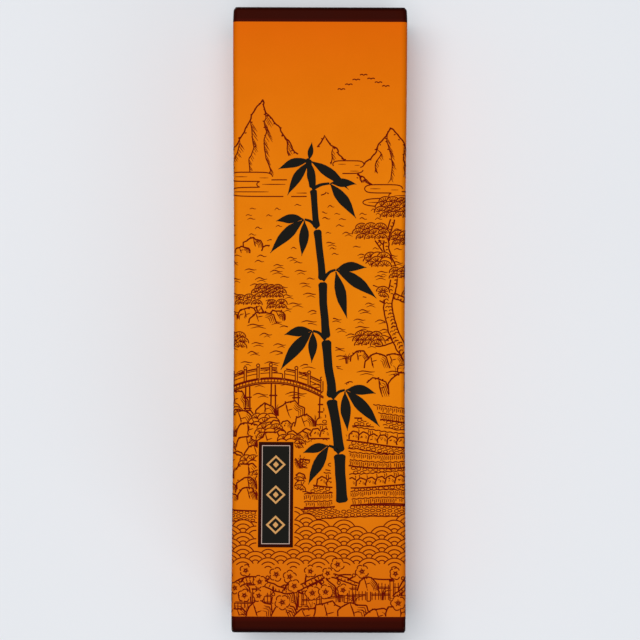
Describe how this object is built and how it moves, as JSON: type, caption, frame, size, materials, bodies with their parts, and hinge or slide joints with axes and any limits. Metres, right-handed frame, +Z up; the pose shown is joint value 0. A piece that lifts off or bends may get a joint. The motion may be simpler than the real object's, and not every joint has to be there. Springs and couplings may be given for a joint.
{
  "type": "boxed castella cake",
  "caption": "Long shut folding carton of sliced castella cake, printed front panel up, closure panels tucked in at both ends.",
  "frame": {"origin": "middle of the underside, which is the carton's back panel", "axes": "+Z up out of the printed front panel, +Y along the length to the end that the print shows as its top, +X to the print's right"},
  "size_m": [0.08, 0.287, 0.06],
  "materials": {
    "printed_board": "satin"
  },
  "bodies": {
    "root": {"carton": "printed_board"}
  },
  "joints": []
}
